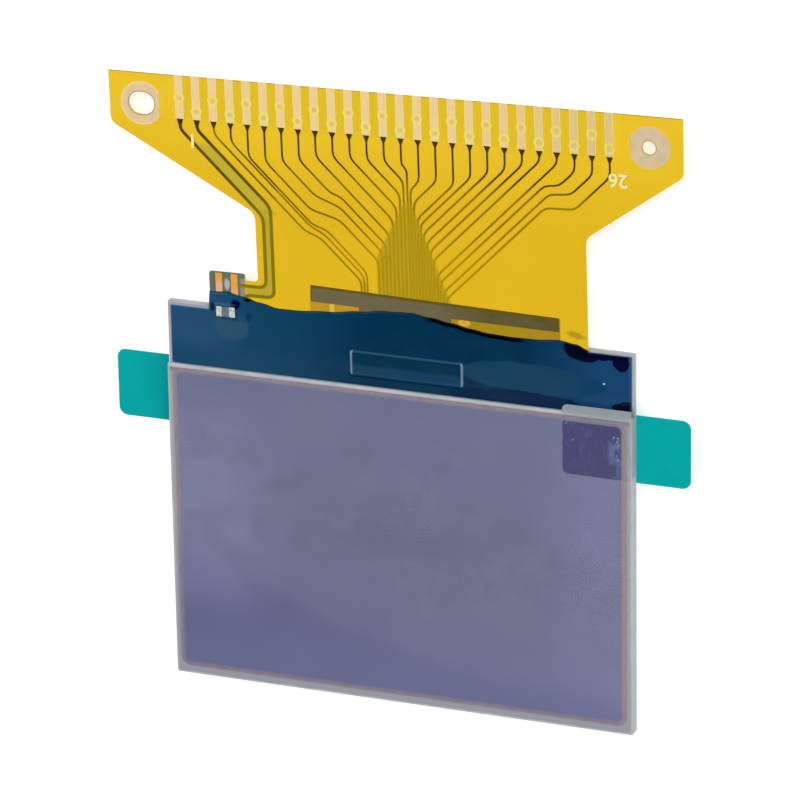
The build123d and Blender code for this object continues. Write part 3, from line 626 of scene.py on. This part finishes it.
def blue_silicone():
    """Blue silicone poured over the ledge: glossy, almost black where it pools. Its colour also holds
    painted light: a painted sheen that lightens its left end, painted highlights along the chip's outline
    and painted shade along its meniscus.
    """
    material, tree = start_material("blue_silicone", "#00304a", 0.1, ior=1.41, gloss=0.12)
    place = millimetres(tree)
    poured = wavering(tree, place, 1.6, 0.7)
    across, up = add(tree, "SeparateXYZ", {0: place}).outputs[:2]
    edge = add(tree, "Attribute", attribute_name="edge_distance").outputs["Fac"]
    tongue = box_distance(tree, place, (-21.9, 22.3), (-17.5, 34.0), 1.9)
    die = box_distance(tree, place, (-5.42, 20.3), (7.6, 22.95), 0.25)
    rim = add(tree, "Math", {0: die}, "ABSOLUTE")
    from_middle = add(tree, "Math", {0: across, 1: DIE_MIDDLE}, "SUBTRACT")
    to_end = add(tree, "Math", {0: from_middle}, "ABSOLUTE")
    lens = oval(tree, poured, 15.8, 22.2, 8.6, 1.75, -1.0)
    low_band = oval(tree, poured, 13.8, 19.5, 8.0, 1.1)
    cloud = add(tree, "TexNoise", {"Vector": place, "Scale": 1 / 3.0})
    colour = layered(
        tree, "#002f4c",
        ("#002a48", 1.0, (cloud, 0.45, 0.7)),
        # Painted sheen: the coating is drawn lighter and lighter towards its left end, standing for light
        # that it mirrors there
        ("#1b4a70", 1.0, (across, -11.0, -22.0)),
        ("#406a99", 1.0, (across, -17.0, -23.5), (up, 20.0, 22.5)),
        ("#0f4060", 0.8, (across, -2.0, -14.0)),
        ("#14406a", 1.0, (across, 14.0, 25.0)),
        ("#153e5c", 0.9, (lens, 1.06, 0.9)),
        ("#003a63", 0.8, (lens, 1.06, 0.9), (across, 19.0, 24.0)),
        ("#001f42", 0.9, (low_band, 1.05, 0.9)),
        ("#2c4f68", 0.75, (tongue, 0.1, -0.5), (up, 26.2, 24.0)),
        ("#0f3c5a", 1.0, (die, 0.0, -0.12), (up, 21.7, 21.2)),
        ("#003049", 1.0, (die, 0.0, -0.12), (up, 21.4, 21.9)),
        # Painted highlights: light lines along the chip's outline under the coating, faint on its long
        # sides and brightest at its short ends
        ("#4d7186", 0.3, (rim, 0.2, 0.03), (up, 22.0, 22.7)),
        ("#355f78", 0.3, (rim, 0.2, 0.03), (up, 21.2, 20.5)),
        ("#86a0b2", 0.6, (rim, 0.22, 0.05), (to_end, 6.25, 6.5)),
        ("#00031d", 1.0, (oval(tree, poured, 21.6, 26.25, 2.2, 1.4, -8.0), 1.05, 0.92)),
        ("#000428", 1.0, (oval(tree, poured, 24.3, 26.35, 2.7, 1.0), 1.05, 0.92)),
        ("#00042e", 1.0, (oval(tree, poured, 26.1, 25.5, 0.95, 1.2), 1.08, 0.92)),
        ("#000726", 1.0, (oval(tree, poured, 26.8, 20.0, 1.75, 0.75), 1.08, 0.9)),
        ("#00063a", 1.0, (oval(tree, poured, -19.05, 26.85, 0.62, 0.5), 1.15, 0.8)),
        ("#001526", 0.8, (oval(tree, poured, -22.0, 26.3, 0.35, 0.45), 1.2, 0.7)),
        ("#000b12", 1.0, (oval(tree, poured, -17.5, 27.75, 0.7, 0.45, 20.0), 1.1, 0.8)),
        ("#08294a", 0.7, (oval(tree, poured, -17.7, 25.4, 0.35, 0.6), 1.2, 0.6)),
        ("#c4d4e4", 0.9, (oval(tree, place, 24.12, 22.63, 0.16, 0.09), 1.2, 0.6)),
        ("#96969f", 0.8, (across, -26.9, -27.15)),
        ("#a2a3b0", 0.8, (up, 25.8, 26.0), (across, -22.2, -22.6)),
        ("#9aa2b4", 0.8, (up, 25.98, 26.1), (across, 22.2, 22.4)),
        ("#5a6a84", 0.7, (across, 27.1, 27.2)),
        # Painted shade: a dark line along the meniscus where the coating slopes down to the tail, and a
        # black band just above it in the middle
        ("#0c2420", 0.7, (edge, 0.2, 0.08)),
        ("#010406", 1.0, (edge, 0.5, 0.38), (across, 2.6, 4.4), (across, 15.6, 14.2)),
    )
    return coated(material, colour)


def polished_silicon():
    """Polished silicon of the driver chip, under the coating: a dull steel grey."""
    return clouded("polished_silicon", "#586069", ("#646c78", 0.4, 0.7), 1.0, 0.2, metallic=0.3)


def conductive_adhesive():
    """Milky conductive adhesive, whose metal balls show as fine grain at the joints."""
    # The balls measure a few microns and are drawn at 0.12 mm so that they show
    return clouded(
        "conductive_adhesive", "#b9b08f", ("#9c9376", 0.5, 0.7), 0.12, 0.5, detail=2.0, ior=1.5)


def chip_ceramic():
    """Alumina body of the small chip part: blue-grey under a film of the coating."""
    return clouded("alumina", "#55627a", ("#66738a", 0.4, 0.7), 0.3, 0.45, ior=1.76)


def tin_solder():
    """Reflowed tin solder on the chip part's ends: nearly white, slightly lumpy."""
    return clouded(
        "tin_solder", "#e3e7dd", ("#aeb8bb", 0.45, 0.7), 0.4, 0.35,
        detail=2.0, relief=(0.4, 0.05), metallic=0.3)


def screen_ink():
    """Screen-printed cream ink, uneven enough to let some yellow through."""
    return clouded("screen_ink", "#f4e39c", ("#ead277", 0.5, 0.75), 0.3, 0.6, ior=1.5)


def via_resin():
    """Epoxy resin that fills a land's via: a small olive dot."""
    return clouded("via_resin", "#cfc35a", ("#dcba80", 0.42, 0.58), 3.0, 0.5, detail=2.0, ior=1.55)


def trapped_air():
    """Blisters of air under the tape, which catch the light as pale blue specks."""
    return clouded(
        "trapped_air", "#98a9cf", ("#bccae2", 0.5, 0.75), 0.3, 0.3,
        detail=2.0, ior=1.49, alpha=0.6, gloss=0.3)


def opal_acrylic(glow):
    """Opal acrylic of a light table: plain white, with a glow of its own that keeps shadows pale."""
    plain = clouded("opal_acrylic", "#c2c2c2", ("#c0c0c1", 0.3, 0.8), 2.0, 0.9, ior=1.49)
    return glowing(plain, "#ffffff", glow)


def studio_card(glow):
    """Warm white card that only the glossy films mirror."""
    return glowing(start_material("studio_card", "#000000", 0.9, gloss=0.0)[0], "#fffbc8", glow)


# Work on pieces

def dress(material, *nodes):
    """Gives a finish to CAD nodes."""
    for name in nodes:
        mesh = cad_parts[name].data
        mesh.materials.clear()
        mesh.materials.append(material)


def only(*pieces):
    """Makes these pieces the selected ones, and the first of them the active one."""
    bpy.ops.object.select_all(action="DESELECT")
    for piece in pieces:
        piece.select_set(True)
    bpy.context.view_layer.objects.active = pieces[0]


def settle(piece, name, material):
    """Names a finished piece, puts its place into its mesh and gives it its finish and its body."""
    only(piece)
    bpy.ops.object.transform_apply(location=True, rotation=True, scale=True)
    piece.name = name
    piece.data.name = name
    piece.data.materials.clear()
    piece.data.materials.append(material)
    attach(piece, "root")


def joined(pieces):
    """Joins pieces into the first of them."""
    only(*pieces)
    bpy.ops.object.join()
    return bpy.context.object


def own_copy(mesh, name):
    """A new piece with its own copy of a mesh."""
    piece = bpy.data.objects.new(name, mesh.copy())
    bpy.context.scene.collection.objects.link(piece)
    return piece


def edit_whole():
    """Opens the active piece in edit mode with all of it selected."""
    bpy.ops.object.mode_set(mode="EDIT")
    bpy.ops.mesh.select_all(action="SELECT")


def lifted_copy(node, name, material, top=None):
    """A film that stands for its CAD node, with its lower faces a hair above what carries it."""
    piece = own_copy(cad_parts[node].data, name)
    only(piece)
    edit_whole()
    bpy.ops.mesh.remove_doubles(threshold=1e-7)
    bpy.ops.object.mode_set(mode="OBJECT")
    high = max(vertex.co.z for vertex in piece.data.vertices)
    for vertex in piece.data.vertices:
        if vertex.co.z < high - GLUE * MM:
            vertex.co.z += GLUE * MM
        elif top is not None:
            vertex.co.z = top * MM
    settle(piece, name, material)
    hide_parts(node)


class ModuleFinish(bpy.types.PropertyGroup):
    film_haze: bpy.props.FloatProperty(
        name="Film haze", description="How much the clear front film hides what is under it",
        default=0.14, min=0.0, max=1.0, subtype="FACTOR")
    cover_tint: bpy.props.FloatProperty(
        name="Cover film tint", description="How much the tail's cover film hides the copper",
        default=0.02, min=0.0, max=1.0, subtype="FACTOR")


class CoatingShape(bpy.types.PropertyGroup):
    overlap: bpy.props.FloatProperty(
        name="Overlap", description="How far the thin border runs past the coating's solid",
        default=0.12 * MM, unit="LENGTH")
    rounding: bpy.props.FloatProperty(
        name="Edge rounding", description="Width of the coating's rounded border",
        default=0.35 * MM, unit="LENGTH")
    die_slope: bpy.props.FloatProperty(
        name="Chip slope", description="Width of the slope round the driver chip",
        default=0.3 * MM, unit="LENGTH")
    sensor_climb: bpy.props.FloatProperty(
        name="Sensor climb", description="How far the coating climbs up the chip part on the tongue",
        default=0.16 * MM, unit="LENGTH")
    columns: bpy.props.IntProperty(
        name="Columns", description="Mesh columns across the ledge", default=420, min=40)
    rows: bpy.props.IntProperty(
        name="Rows", description="Mesh rows up the ledge", default=72, min=10)


class NumberPrint(bpy.types.PropertyGroup):
    height: bpy.props.FloatProperty(
        name="Number height", description="Height of the printed pin numbers",
        default=1.6 * MM, unit="LENGTH")
    boldness: bpy.props.FloatProperty(
        name="Number boldness", description="How far the ink runs past each stroke",
        default=0.05 * MM, unit="LENGTH")


class StudioStage(bpy.types.PropertyGroup):
    table_size: bpy.props.FloatProperty(
        name="Table size", description="Side of the square light table", default=3.0, unit="LENGTH")
    table_glow: bpy.props.FloatProperty(
        name="Table glow", description="Light that the table gives off, which keeps shadows pale",
        default=0.62)
    key_power: bpy.props.FloatProperty(
        name="Lamp power", description="Power of the first soft lamp; the others follow it",
        default=8.4, unit="POWER")
    room_light: bpy.props.FloatProperty(
        name="Room light", description="Strength of the even light from all round", default=0.06)
    card_glow: bpy.props.FloatProperty(
        name="Card glow", description="Brightness of the card that the display mirrors", default=1.6)
    lens: bpy.props.FloatProperty(
        name="Lens", description="Focal length of the camera in millimetres", default=254.4527)


class LCD_OT_glass_cell(bpy.types.Operator):
    """Finish both glass sheets, the seal and the liquid between them"""
    bl_idname = "lcd_module.glass_cell"
    bl_label = "Glass cell"

    def execute(self, context):
        dress(float_glass(), "front_glass", "rear_glass")
        dress(epoxy_seal(), "perimeter_seal", "end_seal")
        dress(liquid_crystal(), "liquid_crystal")
        return {"FINISHED"}


class LCD_OT_films(bpy.types.Operator):
    """Finish the polarizers and lay the protective films over them"""
    bl_idname = "lcd_module.films"
    bl_label = "Polarizers and films"

    def execute(self, context):
        dress(dyed_polarizer(), "front_polarizer")
        dress(aluminised_reflector(), "rear_polarizer")
        dress(clear_polyester("clear_polyester_rear", 1.0), "rear_protective_film")
        front = clear_polyester("clear_polyester_front", context.scene.lcd_finish.film_haze)
        lifted_copy("front_protective_film", "clear_front_film", front)
        return {"FINISHED"}


class LCD_OT_pull_tabs(bpy.types.Operator):
    """Finish the two pull tabs with their clear tape and teal grips"""
    bl_idname = "lcd_module.pull_tabs"
    bl_label = "Pull tabs"

    def execute(self, context):
        tape = clear_tape()
        dress(teal_polyester(), "front_pull_grip", "rear_pull_grip")
        dress(tape, "rear_pull_tape")
        lifted_copy(
            "front_pull_tape", "clear_front_tape", tape, top=TAPE_HIGH.z - TAPE_THINNED)
        return {"FINISHED"}


class LCD_OT_tape_blisters(bpy.types.Operator):
    """Trap small blisters of air between the front film and its tape"""
    bl_idname = "lcd_module.tape_blisters"
    bl_label = "Air under the tape"

    def execute(self, context):
        chance = random.Random(7)
        bpy.ops.object.select_all(action="DESELECT")
        bpy.ops.mesh.primitive_uv_sphere_add(
            segments=16, ring_count=8, radius=BLISTER_RADIUS * MM, location=(0.0, 0.0, 0.0))
        first = context.object
        edit_whole()
        bpy.ops.mesh.bisect(
            plane_co=(0.0, 0.0, 0.0), plane_no=(0.0, 0.0, 1.0), use_fill=True, clear_inner=True)
        bpy.ops.mesh.select_all(action="SELECT")
        bpy.ops.transform.resize(value=BLISTER_SHAPE, center_override=(0.0, 0.0, 0.0))
        bpy.ops.object.mode_set(mode="OBJECT")
        bpy.ops.object.shade_smooth_by_angle(angle=math.radians(40))
        # Some lie alone, and a few stand in a row where the tape is lifted
        places = [(19.95, 17.8), (20.7, 15.9), (25.45, 16.7), (25.8, 14.6), (25.95, 14.15)]
        places += [(26.0 + chance.uniform(-0.18, 0.12), 15.5 + i * 0.24) for i in range(6)]
        made = []
        for x, y in places:
            blister = own_copy(first.data, "blister")
            blister.location = (x * MM, y * MM, (TAPE_LOW.z + BLISTER_LIFT) * MM)
            blister.scale = (chance.uniform(0.5, 1.2), chance.uniform(0.5, 1.4), 1.0)
            blister.rotation_euler.z = chance.uniform(-0.6, 0.6)
            made.append(blister)
        bpy.data.objects.remove(first)
        settle(joined(made), "tape_blisters", trapped_air())
        return {"FINISHED"}


class LCD_OT_tail(bpy.types.Operator):
    """Finish the tail: base film, cover film, tracks and fingers"""
    bl_idname = "lcd_module.tail"
    bl_label = "Flex tail"

    def execute(self, context):
        dress(polyimide("polyimide_base", 1.0), "flex_base_film")
        dress(covered_copper(), "flex_traces")
        dress(tinned_fingers(), "bond_finger_strip")
        cover = polyimide("polyimide_cover", context.scene.lcd_finish.cover_tint)
        lifted_copy("flex_coverlay", "tail_cover_film", cover)
        return {"FINISHED"}


class LCD_OT_terminals(bpy.types.Operator):
    """Finish the terminals and rings, and set the filled via into each land"""
    bl_idname = "lcd_module.terminals"
    bl_label = "Terminals"

    def execute(self, context):
        dress(flash_gold(), "terminal_pads")
        dress(handled_gold(), "slotted_ring_pad", "round_ring_pad")
        bpy.ops.object.select_all(action="DESELECT")
        bpy.ops.mesh.primitive_cylinder_add(
            vertices=24, radius=VIA_RADIUS * MM, depth=VIA_DEPTH * MM, location=(0.0, 0.0, 0.0))
        first = context.object
        bpy.ops.object.mode_set(mode="EDIT")
        bpy.ops.mesh.select_all(action="DESELECT")
        shape = bmesh.from_edit_mesh(first.data)
        for face in shape.faces:
            face.select = face.normal.z > 0.9
        bmesh.update_edit_mesh(first.data)
        bpy.ops.mesh.inset(thickness=VIA_RIM * MM, depth=-VIA_DIMPLE * MM)
        bpy.ops.object.mode_set(mode="OBJECT")
        made = []
        for number in range(1, TERMINAL_COUNT + 1):
            x = (number - (TERMINAL_COUNT + 1) / 2) * TERMINAL_PITCH
            x, y = on_tail(x, ODD_LAND_Y if number % 2 else EVEN_LAND_Y)
            dot = own_copy(first.data, "via_%d" % number)
            dot.location = (x * MM, y * MM, PAD_HIGH.z * MM)
            made.append(dot)
        bpy.data.objects.remove(first)
        settle(joined(made), "filled_vias", via_resin())
        return {"FINISHED"}


class LCD_OT_pin_numbers(bpy.types.Operator):
    """Print the plain numbers of the first and last terminal, read from the head's side"""
    bl_idname = "lcd_module.pin_numbers"
    bl_label = "Pin numbers"

    def execute(self, context):
        ink = screen_ink()
        numbers = context.scene.lcd_numbers
        for text, x, y in NUMERALS:
            x, y = on_tail(x, y)
            bpy.ops.object.select_all(action="DESELECT")
            bpy.ops.object.text_add(
                location=(x * MM, y * MM, COVER_HIGH.z * MM),
                rotation=(0.0, 0.0, math.radians(180 + TAIL_SKEW)))
            letters = context.object.data
            letters.body = text
            letters.align_x = "CENTER"
            letters.align_y = "CENTER"
            letters.size = numbers.height / NUMERAL_SHARE
            letters.offset = numbers.boldness
            letters.extrude = INK_THICKNESS * MM
            bpy.ops.object.convert(target="MESH")
            settle(context.object, "pin_number_" + text, ink)
        return {"FINISHED"}


def eased(share):
    """A share from 0 to 1 with a soft start and end."""
    share = min(max(share, 0.0), 1.0)
    return share * share * (3 - 2 * share)


def coating_edge(x, on_glass):
    """The coating's upper edge at a place along the ledge, and whether it lies on the tail there."""
    for (x0, y0), (x1, y1) in zip(COATING_EDGE, COATING_EDGE[1:]):
        if x0 <= x <= x1:
            return y0 + (y1 - y0) * eased((x - x0) / (x1 - x0)), True
    return on_glass, False


def past_box(x, y, low, high):
    """How far a place lies outside a rectangle given by two corners."""
    return max(low.x - x, x - high.x, low.y - y, y - high.y)


class LCD_OT_coating(bpy.types.Operator):
    """Pour the blue coating over the ledge, the chip and the tail's end"""
    bl_idname = "lcd_module.coating"
    bl_label = "Ledge coating"

    def execute(self, context):
        shape = context.scene.lcd_coating
        overlap = shape.overlap / MM
        rounding = shape.rounding / MM
        left = COATING_LOW.x - overlap
        right = COATING_HIGH.x + overlap
        low = COATING_LOW.y
        glass_top = REAR_HIGH.z
        on_glass = LEDGE_Y - COATING_INSET + overlap
        full = glass_top + COATING_THICKNESS
        margin = Vector((DIE_MARGIN, DIE_MARGIN, 0.0))
        bpy.ops.object.select_all(action="DESELECT")
        bpy.ops.mesh.primitive_grid_add(
            x_subdivisions=shape.columns, y_subdivisions=shape.rows, size=1.0)
        piece = context.object
        distances = []
        for vertex in piece.data.vertices:
            x = left + (right - left) * (vertex.co.x + 0.5)
            top, over_tail = coating_edge(x, on_glass)
            y = low + (top - low) * (1 - (0.5 - vertex.co.y) ** 1.5)
            past_ledge = over_tail and y > on_glass - TAIL_STEP
            on_tongue = past_ledge and x < TONGUE_RIGHT
            floor = glass_top
            if past_ledge:
                floor = BASE_HIGH.z if on_tongue else COVER_HIGH.z
            from_side = min(x - left, right - x)
            from_top = top - y
            top_rounding = rounding * (TAIL_ROUNDING if over_tail else 1.0)
            near = min(from_side / rounding, from_top / top_rounding, 1.0)
            swell = math.sqrt(max(0.0, 1 - (1 - near) ** 2))
            from_die = past_box(x, y, DIE_LOW - margin, DIE_HIGH + margin)
            die_share = eased(1 - from_die / (shape.die_slope / MM))
            from_caps = past_box(x, y, CAPS_LOW, CAPS_HIGH)
            climb = eased(1 - from_caps / CLIMB_REACH) * shape.sensor_climb / MM
            lift = max((COATING_HIGH.z - full - DIE_CLEARANCE) * die_share, climb)
            wave = WAVE_HEIGHT * noise.noise(Vector((x / WAVE_SIZE[0], y / WAVE_SIZE[1], 3.0)))
            z = floor + (full - floor) * swell + lift * swell + wave * swell
            vertex.co = Vector((x, y, min(z, COATING_HIGH.z + climb))) * MM
            distances.append(from_top if over_tail else FAR_FROM_EDGE)
        attribute = piece.data.attributes.new("edge_distance", "FLOAT", "POINT")
        attribute.data.foreach_set("value", distances)
        only(piece)
        edit_whole()
        bpy.ops.mesh.region_to_loop()
        bpy.ops.mesh.extrude_region_move(TRANSFORM_OT_translate={"value": (0.0, 0.0, -COATING_SKIRT * MM)})
        bpy.ops.mesh.edge_face_add()
        bpy.ops.mesh.select_all(action="SELECT")
        bpy.ops.mesh.normals_make_consistent(inside=False)
        bpy.ops.object.mode_set(mode="OBJECT")
        for vertex in piece.data.vertices[len(distances):]:
            past_ledge = vertex.co.y / MM > LEDGE_Y - TAIL_STEP + overlap
            vertex.co.z = (BASE_LOW.z + 0.05 if past_ledge else glass_top + 0.002) * MM
        only(piece)
        bpy.ops.object.shade_smooth_by_angle(angle=math.radians(50))
        settle(piece, "poured_coating", blue_silicone())
        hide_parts("ledge_coating")
        return {"FINISHED"}


class LCD_OT_chips(bpy.types.Operator):
    """Finish the driver chip, the bonding films and the sensor on the tongue"""
    bl_idname = "lcd_module.chips"
    bl_label = "Chips and bonds"

    def execute(self, context):
        dress(polished_silicon(), "driver_die")
        dress(conductive_adhesive(), "die_bond_film", "flex_bond_film")
        dress(rolled_copper(), "sensor_strips")
        dress(chip_ceramic(), "sensor_chip")
        dress(tin_solder(), "sensor_end_caps")
        return {"FINISHED"}


class LCD_OT_stage(bpy.types.Operator):
    """Set up the light table, the soft studio lamps, the card and the camera"""
    bl_idname = "lcd_module.stage"
    bl_label = "Stage"

    def execute(self, context):
        scene = context.scene
        stage = scene.lcd_stage
        bpy.ops.object.select_all(action="DESELECT")
        bpy.ops.mesh.primitive_plane_add(
            size=stage.table_size, location=(0.0, 0.0, CAD_BOX[0].z - 0.01 * MM))
        table = context.object
        table.name = "light_table"
        table.data.materials.append(opal_acrylic(stage.table_glow))
        bpy.ops.object.transform_apply(location=True, rotation=True, scale=True)
        # The card's lower edge is what the display mirrors as a bent line in its lower left
        bpy.ops.object.select_all(action="DESELECT")
        bpy.ops.mesh.primitive_plane_add(
            size=1.0, location=(*CARD_MIDDLE, CARD_HEIGHT), rotation=(math.pi, 0.0, 0.0))
        card = context.object
        card.name = "studio_card"
        card.scale = (*CARD_SIZE, 1.0)
        bpy.ops.object.transform_apply(location=True, rotation=True, scale=True)
        card.data.materials.append(studio_card(stage.card_glow))
        card.visible_camera = False
        bpy.ops.object.mode_set(mode="EDIT")
        for square_to in CARD_CUTS:
            bpy.ops.mesh.select_all(action="SELECT")
            bpy.ops.mesh.bisect(
                plane_co=(*CARD_CORNER, CARD_HEIGHT), plane_no=(*square_to, 0.0), clear_inner=True)
        bpy.ops.object.mode_set(mode="OBJECT")
        world = bpy.data.worlds.new("studio")
        world.use_nodes = True
        background = world.node_tree.nodes["Background"]
        background.inputs["Color"].default_value = (1.0, 1.0, 1.0, 1.0)
        background.inputs["Strength"].default_value = stage.room_light
        scene.world = world
        for name, place, share in LAMPS:
            light = bpy.data.lights.new(name, "AREA")
            light.size = LAMP_SIZE
            light.energy = stage.key_power * share
            lamp = bpy.data.objects.new(name, light)
            scene.collection.objects.link(lamp)
            lamp.location = place
            lamp.rotation_euler = (Vector(LAMP_AIM) - Vector(place)).to_track_quat("-Z", "Y").to_euler()
        data = bpy.data.cameras.new("camera")
        data.lens = stage.lens
        data.sensor_width = 36.0
        data.clip_start = 0.05
        camera = bpy.data.objects.new("camera", data)
        scene.collection.objects.link(camera)
        camera.location = CAMERA_PLACE
        camera.rotation_euler = [math.radians(angle) for angle in CAMERA_TURN]
        scene.camera = camera
        scene.view_settings.view_transform = "Standard"
        return {"FINISHED"}


OPERATORS = (
    LCD_OT_glass_cell,
    LCD_OT_films,
    LCD_OT_pull_tabs,
    LCD_OT_tape_blisters,
    LCD_OT_tail,
    LCD_OT_terminals,
    LCD_OT_pin_numbers,
    LCD_OT_coating,
    LCD_OT_chips,
    LCD_OT_stage,
)

SETTINGS = (
    ("lcd_finish", ModuleFinish),
    ("lcd_coating", CoatingShape),
    ("lcd_numbers", NumberPrint),
    ("lcd_stage", StudioStage),
)


class LCD_PT_panel(bpy.types.Panel):
    """Lists the steps that finish the display module"""
    bl_idname = "LCD_PT_panel"
    bl_label = "Display module"
    bl_space_type = "VIEW_3D"
    bl_region_type = "UI"
    bl_category = "Display module"

    def draw(self, context):
        for operator in OPERATORS:
            self.layout.operator(operator.bl_idname)
        for name, group in SETTINGS:
            box = self.layout.box()
            for setting in group.__annotations__:
                box.prop(getattr(context.scene, name), setting)


def register():
    for name, group in SETTINGS:
        bpy.utils.register_class(group)
        setattr(bpy.types.Scene, name, bpy.props.PointerProperty(type=group))
    for operator in OPERATORS:
        bpy.utils.register_class(operator)
    bpy.utils.register_class(LCD_PT_panel)


def unregister():
    bpy.utils.unregister_class(LCD_PT_panel)
    for operator in reversed(OPERATORS):
        bpy.utils.unregister_class(operator)
    for name, group in reversed(SETTINGS):
        delattr(bpy.types.Scene, name)
        bpy.utils.unregister_class(group)


def main():
    """Builds the whole scene, step by step."""
    register()
    for operator in OPERATORS:
        group, name = operator.bl_idname.split(".")
        getattr(getattr(bpy.ops, group), name)()


if __name__ == "__main__":
    main()
